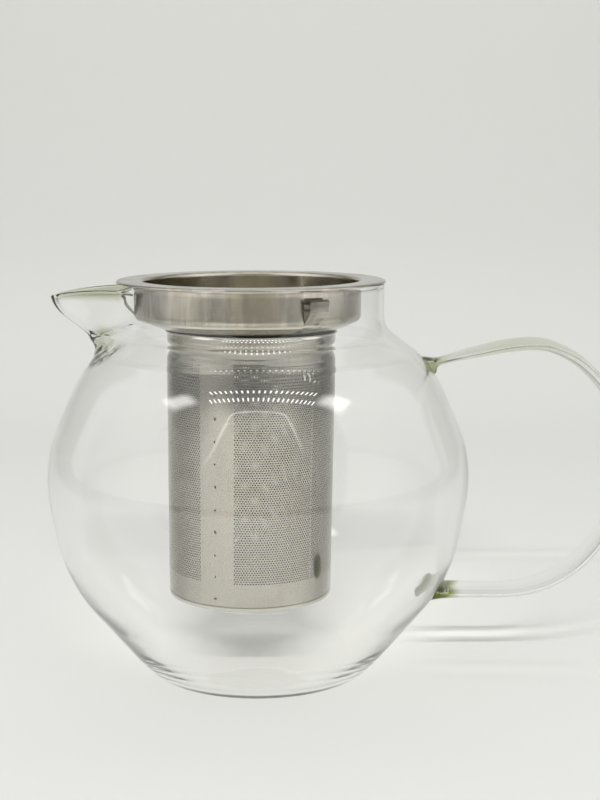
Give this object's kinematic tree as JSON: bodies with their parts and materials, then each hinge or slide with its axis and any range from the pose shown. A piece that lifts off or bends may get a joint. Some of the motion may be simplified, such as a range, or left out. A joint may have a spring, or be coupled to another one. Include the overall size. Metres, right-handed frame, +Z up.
{
  "type": "glass teapot with infuser",
  "caption": "Round clear glass teapot with a pulled pouring lip and a flat loop handle, holding a lift-out perforated steel infuser on a flanged collar with spring fingers.",
  "frame": {"origin": "centre of the flat foot on the table, on the globe's axis", "axes": "+Z up along the globe's axis, +X towards the handle, -X towards the spout, the seam of the basket faces -Y"},
  "size_m": [0.1981, 0.1422, 0.1335],
  "materials": {
    "clear_glass": "clear polished borosilicate, faint green in thick places",
    "polished_steel": "polished stainless steel, spun marks",
    "perforated_steel": "bright photo-etched stainless sheet"
  },
  "bodies": {
    "pot": {"glass_body": "clear_glass", "glass_handle": "clear_glass"},
    "infuser": {"infuser_collar": "polished_steel", "basket_tube": "perforated_steel", "basket_bottom": "perforated_steel", "seam_welds": "polished_steel"},
    "finger_spout_body": {"finger_spout": "polished_steel"},
    "finger_front_body": {"finger_front": "polished_steel"}
  },
  "joints": [
    {"name": "infuser_lift", "type": "slide", "parent": "pot", "child": "infuser", "axis": [0, 0, 1], "range_m": [0, 0.12]},
    {"name": "finger_spout_flex", "type": "hinge", "parent": "infuser", "child": "finger_spout_body", "pos_m": [-0.03244, -0.00184, 0.11805], "axis": [-0.061, 0.9981, 0], "range_deg": [0, 6], "stiffness_Nm_per_rad": 0.6},
    {"name": "finger_front_flex", "type": "hinge", "parent": "infuser", "child": "finger_front_body", "pos_m": [0.01437, -0.02518, 0.11805], "axis": [-0.8339, -0.5519, 0], "range_deg": [0, 6], "stiffness_Nm_per_rad": 0.6}
  ]
}
